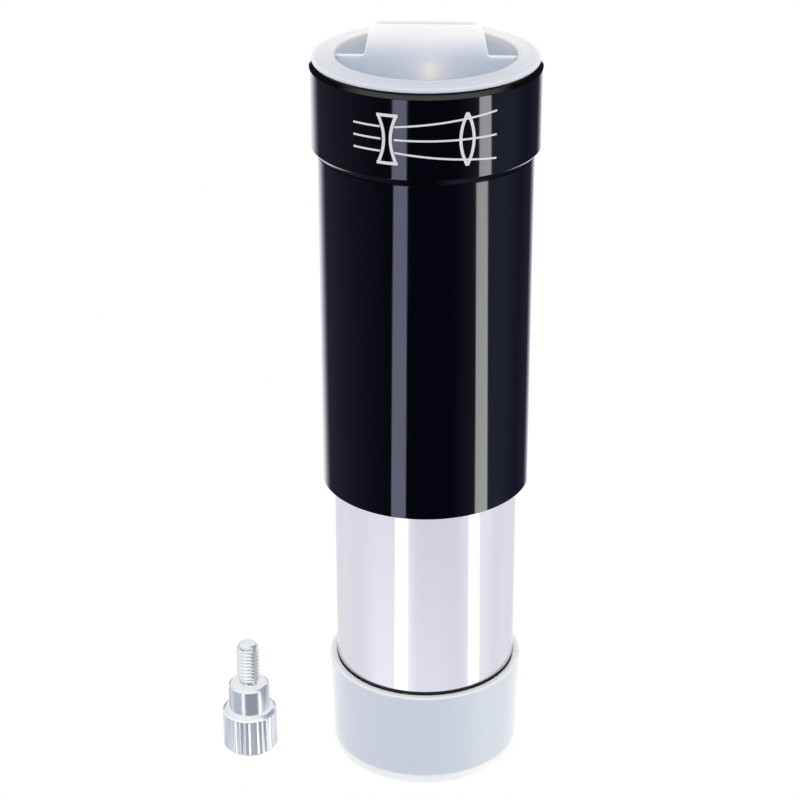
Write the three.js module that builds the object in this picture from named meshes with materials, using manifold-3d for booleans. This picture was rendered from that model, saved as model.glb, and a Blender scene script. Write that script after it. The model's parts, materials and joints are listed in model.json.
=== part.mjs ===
// A 1.25 inch, three element barlow lens. It stands on its lower dust cap, and its thumbscrew stands beside it.
// Millimetres. +Z is the optical axis, from the telescope's end up to the eyepiece's end.
// The origin is on the optical axis, on the underside of the lower dust cap.

import * as THREE from "three";
import { mergeVertices } from "three/addons/utils/BufferGeometryUtils.js";
import Module from "manifold-3d";

const wasm = await Module();
wasm.setup();

// ---------------------------------------------------------------- driving dimensions

const FACETS = 48; // round every turned piece
const SEAT_GAP = 0.05; // between faces that are screwed or pushed up to each other
const THREAD_GAP = 0.1; // between a threaded spigot and its hole, both drawn plain
const SLIDE_GAP = 0.15; // round a dust cap's fit

const NOSEPIECE_RADIUS = 31.7 / 2;
const EYEPIECE_BORE_RADIUS = 31.8 / 2;
const TUBE_RADIUS = 18.0;
const COLLAR_RADIUS = 19.0;

// Heights of the faces that divide the outside, from the surface that it stands on.
const LOWER_CAP_RIM_Z = 18.25;
const NOSEPIECE_FOOT_Z = 18.85;
const TUBE_FOOT_Z = 54.4;
const COLLAR_FOOT_Z = 113.9;
const COLLAR_TOP_Z = 129.1;
const TAB_TOP_Z = 135.2;

const lowerCap = {
  footRadius: 16.6,
  wallRadius: 16.75,
  rimRadius: 17.15,
  flareHeight: 7.0, // the wall opens out over this height, up to the rim
  floor: 1.6,
  footRound: 0.4,
  rimRound: 0.3,
  mouthRound: 0.1,
};

const cell = {
  radius: 15.7,
  floorGap: 0.35, // from the cap's floor
  spigotRadius: 14.5,
  spigotLength: 6.2,
  filterThreadRadius: 14.1,
  filterThreadDepth: 4.7,
  ringThreadRadius: 13.5,
  lensBoreRadius: 13.1,
  apertureRadius: 12.0,
};

const glass = { radius: 13.0, rimSteps: 5 };
const retainer = { innerRadius: 11.6, thickness: 1.8, slotWidth: 1.6, slotDepth: 0.9 };
const pressureRing = { innerRadius: 11.9, thickness: 0.6 };
const spacer = { innerRadius: 12.2, thickness: 1.2 };
const frontLens = { lowerCurve: 60, upperCurve: 40, centre: 2.0 };
const edLens = { lowerCurve: -70, upperCurve: 45, centre: 1.8 };
const rearLens = { centre: 3.4 };

const barrel = { boreRadius: 13.9, cellThreadLength: 6.5, spigotRadius: 14.9, spigotLength: 6.5 };
const tube = {
  boreRadius: 16.0,
  footWall: 6.0,
  footRecess: 0.6, // the nosepiece's shoulder is let into the tube's foot by this much
  spigotRadius: 17.0,
  spigotLength: 4.5,
};
const baffles = {
  thickness: 1.2,
  barrelHoleRadius: 10.5,
  barrelZ: 41.0,
  tubeHoleRadius: 11.0,
  tubeZ: 76.0,
  stopHoleRadius: 12.0,
  stopZ: 96.0,
};

const collar = {
  chamferWidth: 1.0,
  footChamferHeight: 1.2,
  topChamferHeight: 0.9,
  mouthChamfer: 0.4,
};
const screwHoleZ = 122.15;

const upperCap = {
  flangeRadius: 18.5,
  beadRadius: 17.85,
  plugDepth: 10.1,
  floor: 1.3,
  recessRadius: 14.75,
  crestZ: 130.25,
  webThickness: 0.8,
  webRound: 0.2,
  webTopZ: 129.8,
  webHalfLength: 15.3,
  tabFootHalfWidth: 10.05,
  tabTopHalfWidth: 8.85,
  tabCorner: 2.0,
  edgeRound: 0.4,
  turnDegrees: -2,
};

const screw = {
  x: -31.98,
  y: -3.36,
  headRadius: 4.92,
  headHeight: 7.3,
  headChamfer: 0.6,
  footChamfer: 0.35,
  teeth: 30,
  toothDepth: 0.38,
  shoulderRadius: 3.63,
  shoulderTopZ: 13.0,
  shoulderChamfer: 0.4,
  threadFootZ: 13.4,
  threadTopZ: 20.5,
  tipZ: 21.2,
  tipRadius: 1.25,
};
// M4 x 0.7: a fifth of each turn is flat crest and a fifth is flat root.
const thread = { crest: 2.0, root: 1.6, pitch: 0.7, flat: 0.2, ringsPerTurn: 5, facets: 20, gap: 0.05 };

// ---------------------------------------------------------------- finishes

const finishes = {
  blackAnodised: { color: 0x0c0c12, roughness: 0.22, metalness: 0.7 },
  mattBlack: { color: 0x111113, roughness: 0.8, metalness: 0.3 },
  chrome: { color: 0xd6d6de, roughness: 0.08, metalness: 1.0 },
  aluminium: { color: 0xc8ccd2, roughness: 0.28, metalness: 1.0 },
  frosted: { color: 0xdfe4ee, roughness: 0.5, metalness: 0.0 },
  nylon: { color: 0xe8e6de, roughness: 0.6, metalness: 0.0 },
  coatedGlass: { color: 0x9fc2b0, roughness: 0.05, metalness: 0.0 },
};

// ---------------------------------------------------------------- shape helpers

/** A turned solid. The profile is [radius, height] points, anticlockwise, from the axis back to the axis. */
function turned(profile, facets = FACETS) {
  const points = profile.map(([radius, height]) => new THREE.Vector2(radius, height));
  const geometry = new THREE.LatheGeometry(points, facets);
  geometry.rotateX(Math.PI / 2);
  return geometry;
}

/** A turned ring. The profile goes anticlockwise round a section that stays clear of the axis. */
function turnedRing(profile) {
  return turned([...profile, profile[0]]);
}

/** A plain ring with square edges. */
function plainRing(innerRadius, outerRadius, footZ, topZ) {
  return turnedRing([
    [innerRadius, footZ],
    [outerRadius, footZ],
    [outerRadius, topZ],
    [innerRadius, topZ],
  ]);
}

/** The closed solid of a geometry, ready to be cut or joined. */
function toSolid(geometry) {
  const bare = geometry.clone();
  bare.deleteAttribute("normal");
  bare.deleteAttribute("uv");
  const merged = mergeVertices(bare, 1e-5);
  const index = merged.getIndex().array;
  const corners = [];
  for (let i = 0; i < index.length; i += 3) {
    const [a, b, c] = [index[i], index[i + 1], index[i + 2]];
    if (a !== b && b !== c && c !== a) {
      corners.push(a, b, c);
    }
  }
  const mesh = new wasm.Mesh({
    numProp: 3,
    vertProperties: new Float32Array(merged.getAttribute("position").array),
    triVerts: new Uint32Array(corners),
  });
  return new wasm.Manifold(mesh);
}

/** The geometry of a cut or joined solid. */
function toGeometry(solid) {
  const { vertProperties, triVerts } = solid.getMesh();
  const geometry = new THREE.BufferGeometry();
  geometry.setAttribute("position", new THREE.BufferAttribute(new Float32Array(vertProperties), 3));
  geometry.setIndex(new THREE.BufferAttribute(new Uint32Array(triVerts), 1));
  geometry.computeVertexNormals();
  return geometry;
}

/** How far a spherical surface stands above its centre at a radius. A negative curve falls away instead. */
function sag(curve, radius) {
  return Math.sign(curve) * (Math.abs(curve) - Math.sqrt(curve ** 2 - radius ** 2));
}

/** Points of a spherical surface from the axis out to the glass's rim. */
function surface(centreZ, curve) {
  const points = [];
  for (let step = 0; step <= glass.rimSteps; step += 1) {
    const radius = (glass.radius * step) / glass.rimSteps;
    points.push([radius, centreZ + sag(curve, radius)]);
  }
  return points;
}

/** A lens from its lower surface and its upper surface. */
function lens(lowerPoints, upperPoints) {
  return turned([...lowerPoints, ...upperPoints.reverse()]);
}

// ---------------------------------------------------------------- screw thread

/** Heights of the rings that a thread is sampled at. */
function threadHeights(footZ, topZ) {
  const count = Math.round(((topZ - footZ) / thread.pitch) * thread.ringsPerTurn);
  return Array.from({ length: count + 1 }, (_, i) => footZ + (i * thread.pitch) / thread.ringsPerTurn);
}

/** The radius of a right-handed thread at a height and a part of a turn. */
function threadRadius(height, turn, gap) {
  const phase = THREE.MathUtils.euclideanModulo(height / thread.pitch - turn, 1);
  const fromRoot = Math.abs(2 * phase - 1);
  const rise = THREE.MathUtils.clamp((fromRoot - thread.flat) / (1 - 2 * thread.flat), 0, 1);
  return thread.root + rise * (thread.crest - thread.root) + gap;
}

/** Gives a turned rod its thread, between two heights. */
function cutThread(geometry, footZ, topZ, gap) {
  const position = geometry.getAttribute("position");
  const slack = thread.pitch / 100;
  for (let i = 0; i < position.count; i += 1) {
    const [x, y, z] = [position.getX(i), position.getY(i), position.getZ(i)];
    const radius = Math.hypot(x, y);
    if (radius > thread.root && z > footZ - slack && z < topZ + slack) {
      const grown = threadRadius(z, Math.atan2(y, x) / (2 * Math.PI), gap) / radius;
      position.setXY(i, x * grown, y * grown);
    }
  }
  return geometry;
}

// ---------------------------------------------------------------- dust caps

/** The lower dust cap: a cup that the nosepiece end stands in. */
function lowerCapShape() {
  const boreRadius = cell.radius + SLIDE_GAP;
  const { footRadius, wallRadius, rimRadius, flareHeight, floor, footRound, rimRound, mouthRound } = lowerCap;
  return turned([
    [0, 0],
    [footRadius - footRound, 0],
    [footRadius, footRound],
    [wallRadius, LOWER_CAP_RIM_Z - flareHeight],
    [rimRadius, LOWER_CAP_RIM_Z - rimRound],
    [rimRadius - rimRound, LOWER_CAP_RIM_Z],
    [boreRadius + mouthRound, LOWER_CAP_RIM_Z],
    [boreRadius, LOWER_CAP_RIM_Z - mouthRound],
    [boreRadius, floor + footRound],
    [boreRadius - footRound, floor],
    [0, floor],
  ]);
}

/** The upper dust cap's flange and cup, without its web. */
function upperCapCup() {
  const plugRadius = EYEPIECE_BORE_RADIUS - SLIDE_GAP;
  const footZ = COLLAR_TOP_Z - upperCap.plugDepth;
  const flangeZ = COLLAR_TOP_Z + SEAT_GAP;
  const { flangeRadius, beadRadius, recessRadius, crestZ, floor, edgeRound } = upperCap;
  return turned([
    [0, footZ],
    [plugRadius - edgeRound, footZ],
    [plugRadius, footZ + edgeRound],
    [plugRadius, flangeZ],
    [flangeRadius - edgeRound / 2, flangeZ],
    [flangeRadius, flangeZ + edgeRound / 2],
    [flangeRadius, flangeZ + edgeRound],
    [flangeRadius - edgeRound / 2, flangeZ + 1.5 * edgeRound],
    [beadRadius, flangeZ + 1.25 * edgeRound],
    [plugRadius + 2 * edgeRound, crestZ - edgeRound],
    [plugRadius, crestZ],
    [recessRadius + edgeRound, crestZ],
    [recessRadius, crestZ - edgeRound],
    [recessRadius - edgeRound, footZ + floor + edgeRound],
    [recessRadius - 2 * edgeRound, footZ + floor],
    [0, footZ + floor],
  ]);
}

/** The web across the upper cap's cup, with the pull tab that rises from it, standing on the XZ plane. */
function webAndTab() {
  const footZ = COLLAR_TOP_Z - upperCap.plugDepth + upperCap.floor / 2;
  const { webTopZ, webHalfLength, tabFootHalfWidth, tabTopHalfWidth, tabCorner, edgeRound } = upperCap;
  const { webThickness, webRound } = upperCap;
  const outline = new THREE.Shape();
  outline.moveTo(-webHalfLength, footZ);
  outline.lineTo(webHalfLength, footZ);
  outline.lineTo(webHalfLength, webTopZ);
  outline.lineTo(tabFootHalfWidth, webTopZ);
  outline.lineTo(tabTopHalfWidth + edgeRound, TAB_TOP_Z - tabCorner);
  outline.quadraticCurveTo(tabTopHalfWidth, TAB_TOP_Z, tabTopHalfWidth - tabCorner, TAB_TOP_Z);
  outline.lineTo(tabCorner - tabTopHalfWidth, TAB_TOP_Z);
  outline.quadraticCurveTo(-tabTopHalfWidth, TAB_TOP_Z, -tabTopHalfWidth - edgeRound, TAB_TOP_Z - tabCorner);
  outline.lineTo(-tabFootHalfWidth, webTopZ);
  outline.lineTo(-webHalfLength, webTopZ);
  outline.closePath();
  const geometry = new THREE.ExtrudeGeometry(outline, {
    depth: webThickness - 2 * webRound,
    bevelThickness: webRound,
    bevelSize: webRound,
    bevelOffset: -webRound,
    bevelSegments: 2,
    curveSegments: 5,
  });
  geometry.rotateX(Math.PI / 2);
  geometry.translate(0, webThickness / 2 - webRound, 0);
  return geometry;
}

function upperCapShape() {
  return toGeometry(toSolid(upperCapCup()).add(toSolid(webAndTab())));
}

// ---------------------------------------------------------------- lens cell and glass

const cellFootZ = lowerCap.floor + cell.floorGap;
const cellShoulderZ = NOSEPIECE_FOOT_Z - SEAT_GAP;
const retainerFootZ = cellFootZ + cell.filterThreadDepth;
const retainerTopZ = retainerFootZ + retainer.thickness;
const pressureRingFootZ = retainerTopZ + SEAT_GAP;
const pressureRingTopZ = pressureRingFootZ + pressureRing.thickness;

// Each glass rests on the piece below it, where their radii first meet.
const frontLensZ = pressureRingTopZ + SEAT_GAP - sag(frontLens.lowerCurve, pressureRing.innerRadius);
const frontLensTopZ = frontLensZ + frontLens.centre;
const spacerFootZ = frontLensTopZ + sag(frontLens.upperCurve, glass.radius) + SEAT_GAP;
const spacerTopZ = spacerFootZ + spacer.thickness;
const edLensZ = spacerTopZ + SEAT_GAP - sag(edLens.lowerCurve, glass.radius);
const edLensTopZ = edLensZ + edLens.centre;
const rearLensZ = edLensTopZ + SEAT_GAP;
const rearLensTopZ = rearLensZ + rearLens.centre;
const lensSeatZ = rearLensTopZ + SEAT_GAP;

function cellShape() {
  const spigotTopZ = cellShoulderZ + cell.spigotLength;
  const ringThreadTopZ = pressureRingFootZ;
  return turnedRing([
    [cell.filterThreadRadius, cellFootZ],
    [cell.radius, cellFootZ],
    [cell.radius, cellShoulderZ],
    [cell.spigotRadius, cellShoulderZ],
    [cell.spigotRadius, spigotTopZ],
    [cell.apertureRadius, spigotTopZ],
    [cell.apertureRadius, lensSeatZ],
    [cell.lensBoreRadius, lensSeatZ],
    [cell.lensBoreRadius, ringThreadTopZ],
    [cell.ringThreadRadius, ringThreadTopZ],
    [cell.ringThreadRadius, retainerFootZ],
    [cell.filterThreadRadius, retainerFootZ],
  ]);
}

/** The retaining ring, with a spanner slot across its lower face on each side. */
function retainerShape() {
  const outerRadius = cell.ringThreadRadius - THREAD_GAP;
  const ring = toSolid(plainRing(retainer.innerRadius, outerRadius, retainerFootZ, retainerTopZ));
  const slotBar = new THREE.BoxGeometry(3 * outerRadius, retainer.slotWidth, 2 * retainer.slotDepth);
  slotBar.translate(0, 0, retainerFootZ);
  return toGeometry(ring.subtract(toSolid(slotBar)));
}

function frontLensShape() {
  return lens(surface(frontLensZ, frontLens.lowerCurve), surface(frontLensTopZ, frontLens.upperCurve));
}

function edLensShape() {
  return lens(surface(edLensZ, edLens.lowerCurve), surface(edLensTopZ, edLens.upperCurve));
}

/** The rear lens: its lower side is cemented to the ED lens, and its upper side is flat. */
function rearLensShape() {
  const flatTop = [
    [0, rearLensTopZ],
    [glass.radius, rearLensTopZ],
  ];
  return lens(surface(rearLensZ, edLens.upperCurve), flatTop);
}

// ---------------------------------------------------------------- nosepiece and tube

function nosepieceShape() {
  const shoulderZ = TUBE_FOOT_Z + tube.footRecess - SEAT_GAP;
  const threadRadiusForCell = cell.spigotRadius + THREAD_GAP;
  const threadTopZ = NOSEPIECE_FOOT_Z + barrel.cellThreadLength;
  const spigotTopZ = shoulderZ + barrel.spigotLength;
  return turnedRing([
    [threadRadiusForCell, NOSEPIECE_FOOT_Z],
    [NOSEPIECE_RADIUS, NOSEPIECE_FOOT_Z],
    [NOSEPIECE_RADIUS, shoulderZ],
    [barrel.spigotRadius, shoulderZ],
    [barrel.spigotRadius, spigotTopZ],
    [barrel.boreRadius, spigotTopZ],
    [barrel.boreRadius, threadTopZ],
    [threadRadiusForCell, threadTopZ],
  ]);
}

function tubeShape() {
  const footBoreRadius = barrel.spigotRadius + THREAD_GAP;
  const footWallTopZ = TUBE_FOOT_Z + tube.footWall;
  const shoulderZ = COLLAR_FOOT_Z - SEAT_GAP;
  const spigotTopZ = shoulderZ + tube.spigotLength;
  return turnedRing([
    [footBoreRadius, TUBE_FOOT_Z + tube.footRecess],
    [NOSEPIECE_RADIUS + THREAD_GAP, TUBE_FOOT_Z + tube.footRecess],
    [NOSEPIECE_RADIUS + THREAD_GAP, TUBE_FOOT_Z],
    [TUBE_RADIUS, TUBE_FOOT_Z],
    [TUBE_RADIUS, shoulderZ],
    [tube.spigotRadius, shoulderZ],
    [tube.spigotRadius, spigotTopZ],
    [tube.boreRadius, spigotTopZ],
    [tube.boreRadius, footWallTopZ],
    [footBoreRadius, footWallTopZ],
  ]);
}

/** A light baffle, or the stop: a thin ring pushed into a bore. */
function baffle(holeRadius, boreRadius, footZ) {
  return plainRing(holeRadius, boreRadius - SEAT_GAP, footZ, footZ + baffles.thickness);
}

// ---------------------------------------------------------------- eyepiece collar

function collarBody() {
  const { chamferWidth, footChamferHeight, topChamferHeight, mouthChamfer } = collar;
  const footBoreRadius = tube.spigotRadius + THREAD_GAP;
  const footBoreTopZ = COLLAR_FOOT_Z + tube.spigotLength + SEAT_GAP;
  return turnedRing([
    [footBoreRadius, COLLAR_FOOT_Z],
    [COLLAR_RADIUS - chamferWidth, COLLAR_FOOT_Z],
    [COLLAR_RADIUS, COLLAR_FOOT_Z + footChamferHeight],
    [COLLAR_RADIUS, COLLAR_TOP_Z - topChamferHeight],
    [COLLAR_RADIUS - chamferWidth, COLLAR_TOP_Z],
    [EYEPIECE_BORE_RADIUS + mouthChamfer, COLLAR_TOP_Z],
    [EYEPIECE_BORE_RADIUS, COLLAR_TOP_Z - mouthChamfer],
    [EYEPIECE_BORE_RADIUS, footBoreTopZ],
    [footBoreRadius, footBoreTopZ],
  ]);
}

/** What a tap takes out of the collar's far wall: a threaded rod along Y, a little larger than the screw. */
function tappedHole() {
  const start = EYEPIECE_BORE_RADIUS;
  const heights = threadHeights(start, COLLAR_RADIUS + thread.pitch);
  const wall = heights.map((height) => [thread.crest, height]);
  const rod = turned([[0, start], ...wall, [0, heights.at(-1)]], thread.facets);
  cutThread(rod, start, heights.at(-1), thread.gap);
  rod.rotateX(-Math.PI / 2);
  rod.translate(0, 0, screwHoleZ);
  return rod;
}

function collarShape() {
  return toGeometry(toSolid(collarBody()).subtract(toSolid(tappedHole())));
}

// ---------------------------------------------------------------- thumbscrew

/** The screw's head and shoulder. Every other meridian of the head is pulled in, which makes its teeth. */
function screwHead() {
  const { headRadius, headHeight, headChamfer, footChamfer } = screw;
  const { shoulderRadius, shoulderTopZ, shoulderChamfer, teeth, toothDepth } = screw;
  const profile = [
    [0, 0],
    [headRadius - footChamfer - toothDepth, 0],
    [headRadius, footChamfer],
    [headRadius, headHeight],
    [headRadius - headChamfer, headHeight + headChamfer],
    [shoulderRadius, headHeight + headChamfer],
    [shoulderRadius, shoulderTopZ - shoulderChamfer],
    [shoulderRadius - shoulderChamfer, shoulderTopZ],
    [0, shoulderTopZ],
  ];
  const geometry = turned(profile, 2 * teeth);
  const position = geometry.getAttribute("position");
  for (let i = 0; i < position.count; i += 1) {
    const meridian = Math.floor(i / profile.length);
    const onTeeth = profile[i % profile.length][0] === headRadius;
    if (onTeeth && meridian % 2 === 1) {
      const shrink = 1 - toothDepth / headRadius;
      position.setXY(i, position.getX(i) * shrink, position.getY(i) * shrink);
    }
  }
  return geometry;
}

/** The screw's threaded end, from inside its shoulder to its tip. */
function screwThread() {
  const { shoulderTopZ, shoulderChamfer, threadFootZ, threadTopZ, tipZ, tipRadius } = screw;
  const heights = threadHeights(threadFootZ, threadTopZ);
  const profile = [
    [0, shoulderTopZ - shoulderChamfer],
    [thread.root, shoulderTopZ - shoulderChamfer],
    [thread.root, threadFootZ - thread.pitch / thread.ringsPerTurn],
    ...heights.map((height) => [thread.crest, height]),
    [tipRadius, tipZ],
    [0, tipZ],
  ];
  return cutThread(turned(profile, thread.facets), heights[0], heights.at(-1), 0);
}

function screwShape() {
  return toGeometry(toSolid(screwHead()).add(toSolid(screwThread())));
}

// ---------------------------------------------------------------- the assembly

const barlow = new THREE.Group();

function addPiece(name, geometry, finish) {
  const mesh = new THREE.Mesh(geometry, new THREE.MeshStandardMaterial(finishes[finish]));
  mesh.name = name;
  barlow.add(mesh);
  return mesh;
}

addPiece("bottom_cap", lowerCapShape(), "frosted");

addPiece("lens_cell", cellShape(), "blackAnodised");
addPiece("retaining_ring", retainerShape(), "mattBlack");
addPiece(
  "pressure_ring",
  plainRing(pressureRing.innerRadius, glass.radius, pressureRingFootZ, pressureRingTopZ),
  "nylon",
);
addPiece("front_lens", frontLensShape(), "coatedGlass");
addPiece("lens_spacer", plainRing(spacer.innerRadius, glass.radius, spacerFootZ, spacerTopZ), "mattBlack");
addPiece("ed_lens", edLensShape(), "coatedGlass");
addPiece("rear_lens", rearLensShape(), "coatedGlass");

addPiece("nosepiece_barrel", nosepieceShape(), "chrome");
addPiece("barrel_baffle", baffle(baffles.barrelHoleRadius, barrel.boreRadius, baffles.barrelZ), "mattBlack");
addPiece("main_tube", tubeShape(), "blackAnodised");
addPiece("tube_baffle", baffle(baffles.tubeHoleRadius, tube.boreRadius, baffles.tubeZ), "mattBlack");
addPiece("eyepiece_stop", baffle(baffles.stopHoleRadius, tube.boreRadius, baffles.stopZ), "mattBlack");
addPiece("eyepiece_collar", collarShape(), "blackAnodised");

const topCap = addPiece("top_cap", upperCapShape(), "frosted");
topCap.rotation.z = THREE.MathUtils.degToRad(upperCap.turnDegrees);

const thumbscrew = addPiece("thumbscrew", screwShape(), "aluminium");
thumbscrew.position.set(screw.x, screw.y, 0);

export default barlow;
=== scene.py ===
"""Looks of the barlow lens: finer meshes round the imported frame, procedural materials, a white studio.

Metres, in the frame's own axes. +Z is the optical axis. Heights and outer radii come from the frame.
"""

import json
from math import atan2, cos, hypot, pi, radians, sin, sqrt, tan

import bmesh
import bpy
from mathutils import Matrix, Vector

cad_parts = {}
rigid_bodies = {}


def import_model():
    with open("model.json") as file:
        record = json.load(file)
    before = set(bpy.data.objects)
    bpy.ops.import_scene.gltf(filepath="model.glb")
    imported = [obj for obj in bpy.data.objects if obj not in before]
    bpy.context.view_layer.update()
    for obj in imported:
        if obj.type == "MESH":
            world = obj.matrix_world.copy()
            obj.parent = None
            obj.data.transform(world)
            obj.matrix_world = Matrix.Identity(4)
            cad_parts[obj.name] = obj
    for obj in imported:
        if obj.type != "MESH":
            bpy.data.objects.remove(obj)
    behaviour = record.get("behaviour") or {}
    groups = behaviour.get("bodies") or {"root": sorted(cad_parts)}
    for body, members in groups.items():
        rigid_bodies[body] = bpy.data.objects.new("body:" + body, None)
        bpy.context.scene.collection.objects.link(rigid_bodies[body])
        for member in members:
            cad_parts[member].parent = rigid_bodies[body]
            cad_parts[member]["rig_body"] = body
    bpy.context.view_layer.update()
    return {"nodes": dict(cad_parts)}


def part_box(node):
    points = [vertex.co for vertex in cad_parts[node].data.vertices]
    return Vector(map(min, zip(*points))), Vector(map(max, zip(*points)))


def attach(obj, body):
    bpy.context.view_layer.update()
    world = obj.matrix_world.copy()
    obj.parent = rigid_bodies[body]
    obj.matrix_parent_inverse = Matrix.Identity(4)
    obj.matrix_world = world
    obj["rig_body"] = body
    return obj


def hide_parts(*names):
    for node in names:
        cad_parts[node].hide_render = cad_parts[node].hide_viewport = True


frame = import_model()

MM = 0.001

# ------------------------ driving dimensions

SEGMENTS = 240  # round every turned piece
ARC_STEPS = 5  # in each rounded corner
DOME_STEPS = 9  # in the screw's tip
SHARP_ANGLE = radians(32)

SEAT_GAP = 0.05 * MM  # between a shoulder and the piece that it stops on
SPIGOT_GAP = 0.1 * MM  # between the end of the tube's spigot and the collar
GROOVE_GAP = 0.5 * MM  # between a bore's grooves and a baffle or the stop
GROOVE_END = 1.0 * MM  # the plain part at each end of a grooved bore
TURNED_EDGE = 0.08 * MM  # the rounding of a turned piece's sharp corners
PRINT_DEPTH = 0.02 * MM
EYEPIECE_BORE = 15.9 * MM
CAP_TURN = radians(-2)
SCREW_HOLE_Z = 122.15 * MM

BOTTOM_CAP = dict(
    foot=16.6 * MM,
    wall=16.75 * MM,
    flare=7.0 * MM,
    flare_arc=60 * MM,
    bore=15.85 * MM,
    floor=1.6 * MM,
    foot_ring=1.9 * MM,
    recess=0.25 * MM,
)
TOP_CAP = dict(
    plug=15.75 * MM,
    recess=14.75 * MM,
    floor=1.3 * MM,
    flange_rim=0.63 * MM,
    flange_rim_width=0.55 * MM,
    flange_dip=0.5175 * MM,
    flange_dip_start=0.8 * MM,
    crest=1.1 * MM,
    crest_slope=(0.55 * MM, 0.28 * MM),
    cup_draft=0.35 * MM,
    web=0.8 * MM,
    web_drop=0.6 * MM,
    web_half=15.3 * MM,
    tab_foot=10.05 * MM,
    tab_top=8.85 * MM,
    tab_corner=2.2 * MM,
    edge=0.18 * MM,
)
CELL = dict(
    spigot=14.5 * MM,
    spigot_length=6.2 * MM,
    bore=13.1 * MM,
    mouth=14.1 * MM,
    mouth_depth=4.7 * MM,
    mouth_step=0.3 * MM,
    mouth_step_top=(0.3 * MM, 0.5 * MM),
    ring_bore=13.5 * MM,
    aperture=12.0 * MM,
)
BARREL = dict(
    bore=13.9 * MM,
    cell_thread=14.6 * MM,
    cell_thread_length=6.5 * MM,
    spigot=14.9 * MM,
    groove=0.3 * MM,
    groove_pitch=1.0 * MM,
)
TUBE = dict(
    bore=16.0 * MM,
    foot_bore=15.0 * MM,
    foot_wall=6.0 * MM,
    recess=15.95 * MM,
    recess_depth=0.6 * MM,
    spigot=17.0 * MM,
    groove=0.35 * MM,
    groove_pitch=1.2 * MM,
)
COLLAR = dict(
    chamfer=1.0 * MM,
    foot_chamfer=1.2 * MM,
    top_chamfer=0.9 * MM,
    mouth=0.4 * MM,
    foot_bore=17.1 * MM,
)
RING_HOLE = dict(
    pressure_ring=11.9 * MM,
    retaining_ring=11.6 * MM,
    lens_spacer=12.2 * MM,
    barrel_baffle=10.5 * MM,
    tube_baffle=11.0 * MM,
    eyepiece_stop=12.0 * MM,
)
KNIFE_EDGE = dict(height=0.15 * MM, bevel=0.9 * MM)
SPANNER_SLOT = dict(width=1.6 * MM, depth=0.9 * MM)

# The radii of the lenses' curves. A negative curve falls away from its middle.
GLASS_RADIUS = 13.0 * MM
CURVE = dict(front_lower=60 * MM, front_upper=40 * MM, ed_lower=-70 * MM, ed_upper=45 * MM)

# Places along the collar's front are arc lengths from its middle, and heights are from the rays' axis.
DIAGRAM = dict(
    thin=0.32 * MM,
    bold=0.5 * MM,
    near=-12.2 * MM,
    far=11.8 * MM,
    lens=-6.2 * MM,
    lens_half=3.9 * MM,
    lens_waist=0.55 * MM,
    lens_brim=1.5 * MM,
    field_lens=6.6 * MM,
    field_half=4.3 * MM,
    field_waist=1.1 * MM,
    ray=2.0 * MM,
    spread=1.95,
)

M4 = dict(crest=2.0 * MM, root=1.6 * MM, pitch=0.7 * MM, gap=0.05 * MM)
SCREW = dict(
    foot_groove=(2.6 * MM, 2.9 * MM, 3.1 * MM),
    foot_groove_depth=0.25 * MM,
    teeth=30,
    tooth_depth=0.3 * MM,
    flute_foot=0.42 * MM,
    flute_top=6.95 * MM,
    head_height=7.3 * MM,
    head_chamfer=0.6 * MM,
    foot_chamfer=0.35 * MM,
    shoulder=3.63 * MM,
    shoulder_groove=(0.02 * MM, 0.22 * MM, 0.3 * MM),
    shoulder_groove_depth=0.06 * MM,
    shoulder_top=13.0 * MM,
    shoulder_chamfer=0.4 * MM,
    thread_foot=13.4 * MM,
    thread_top=20.3 * MM,
    tip_radius=1.15 * MM,
)

BODY_OF = {name: node["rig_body"] for name, node in frame["nodes"].items()}


def heights(node):
    """The lowest and the highest point of a CAD node."""
    low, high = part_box(node)
    return low.z, high.z


def outer_radius(node):
    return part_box(node)[1].x


def measures(node):
    """The lowest point, the highest point and the outer radius of a round CAD node."""
    return (*heights(node), outer_radius(node))


# ------------------------ mesh helpers


def rounded(corners):
    """Swaps each corner that has a third number for an arc of that radius. The outline closes on itself."""
    points = []
    for i, corner in enumerate(corners):
        if len(corner) == 2:
            points.append(corner)
            continue
        here = Vector(corner[:2])
        before = (Vector(corners[i - 1][:2]) - here).normalized()
        after = (Vector(corners[(i + 1) % len(corners)][:2]) - here).normalized()
        half = before.angle(after) / 2
        centre = here + (before + after).normalized() * corner[2] / sin(half)
        start = here + before * corner[2] / tan(half) - centre
        end = here + after * corner[2] / tan(half) - centre
        first = atan2(start.y, start.x)
        turn = (atan2(end.y, end.x) - first + pi) % (2 * pi) - pi
        for step in range(ARC_STEPS + 1):
            angle = first + turn * step / ARC_STEPS
            points.append(centre + Vector((cos(angle), sin(angle))) * corner[2])
    return points


def add_object(name, mesh):
    piece = bpy.data.objects.new(name, mesh)
    bpy.context.scene.collection.objects.link(piece)
    return piece


def mesh_object(name, bm):
    """A new object with the mesh of bm, which is freed."""
    mesh = bpy.data.meshes.new(name)
    bm.to_mesh(mesh)
    bm.free()
    return add_object(name, mesh)


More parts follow.
